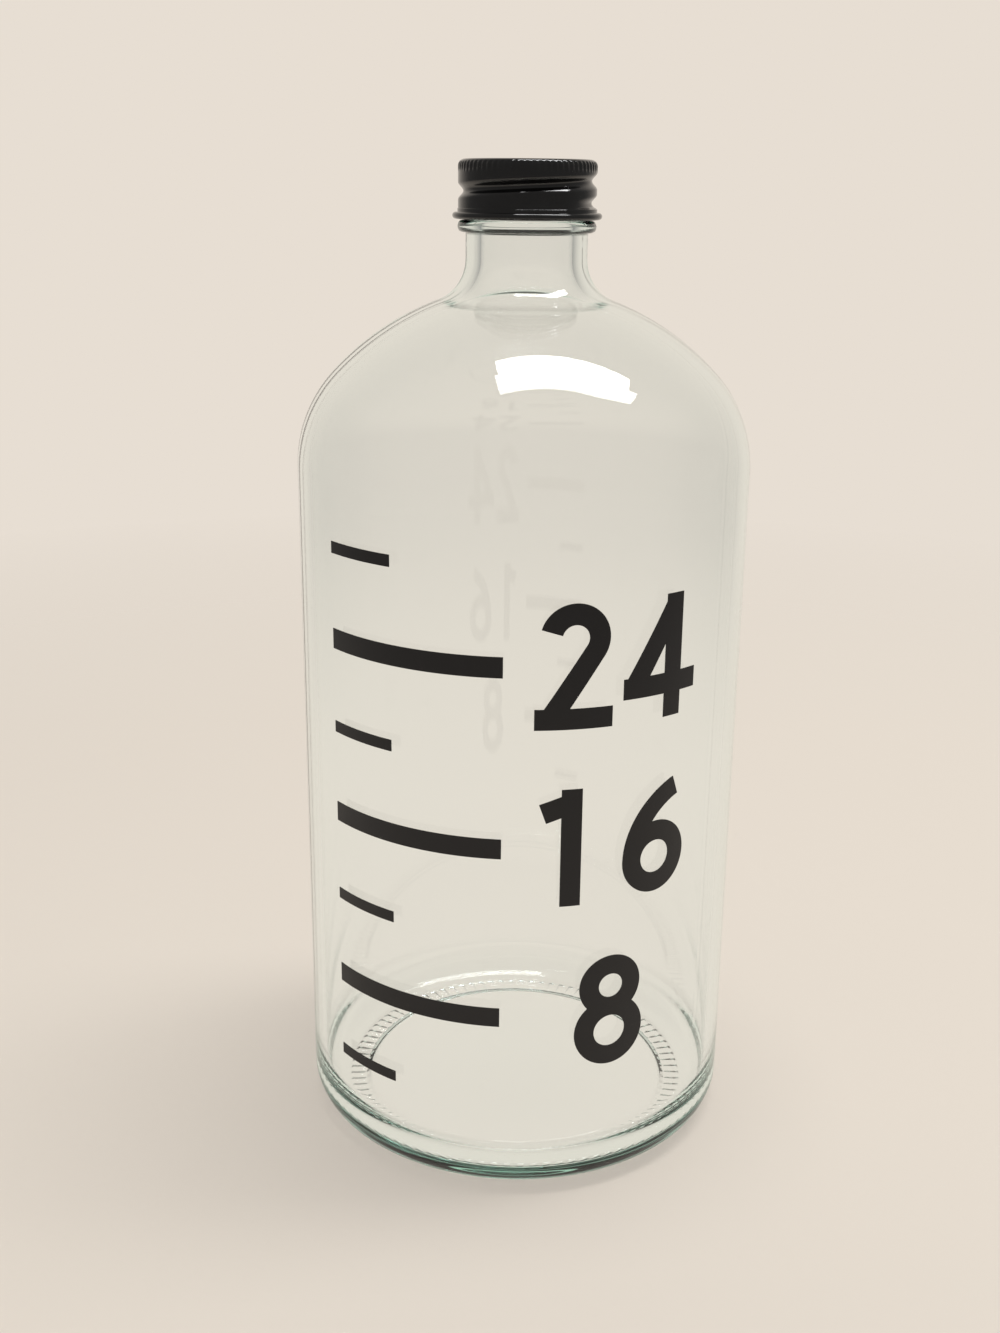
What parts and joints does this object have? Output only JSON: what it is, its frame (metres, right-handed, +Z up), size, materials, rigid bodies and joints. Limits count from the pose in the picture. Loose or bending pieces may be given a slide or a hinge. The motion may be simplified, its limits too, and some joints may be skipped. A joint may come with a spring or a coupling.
{
  "type": "growler bottle",
  "caption": "Clear glass growler: round body, sloped shoulder, short threaded neck, rolled metal screw cap with a pulp liner, and a cut-film fill scale.",
  "frame": {"origin": "on the bottle's axis, on the plane of the bearing ring that it stands on", "axes": "+Z up along the axis to the cap, -Y to the front, where the fill scale is"},
  "size_m": [0.095, 0.0951, 0.2086],
  "materials": {
    "flint_glass": "clear, faintly green where thick",
    "black_lacquer": "gloss black lacquer on tinplate",
    "pulp_board": "pressed grey-buff pulp board",
    "facing_film": "smooth white film",
    "cut_film": "satin black adhesive film"
  },
  "bodies": {
    "bottle": {"glass_bottle": "flint_glass", "level_bar_8": "cut_film", "level_bar_16": "cut_film", "level_bar_24": "cut_film", "half_ticks": "cut_film", "numeral_8": "cut_film", "numeral_16": "cut_film", "numeral_24": "cut_film"},
    "liner": {"liner_board": "pulp_board", "liner_facing": "facing_film"},
    "cap": {"cap_shell": "black_lacquer"}
  },
  "joints": [
    {"name": "cap_lift", "type": "slide", "parent": "bottle", "child": "liner", "axis": [0, 0, 1], "range_m": [0, 0.0212]},
    {"name": "cap_turn", "type": "hinge", "parent": "liner", "child": "cap", "pos_m": [0, 0, 0.2], "axis": [0, 0, 1], "range_deg": [0, 1800]}
  ],
  "couplings": [
    {"joint": "cap_lift", "follows": "cap_turn", "m_per_rad": 0.0006737}
  ]
}
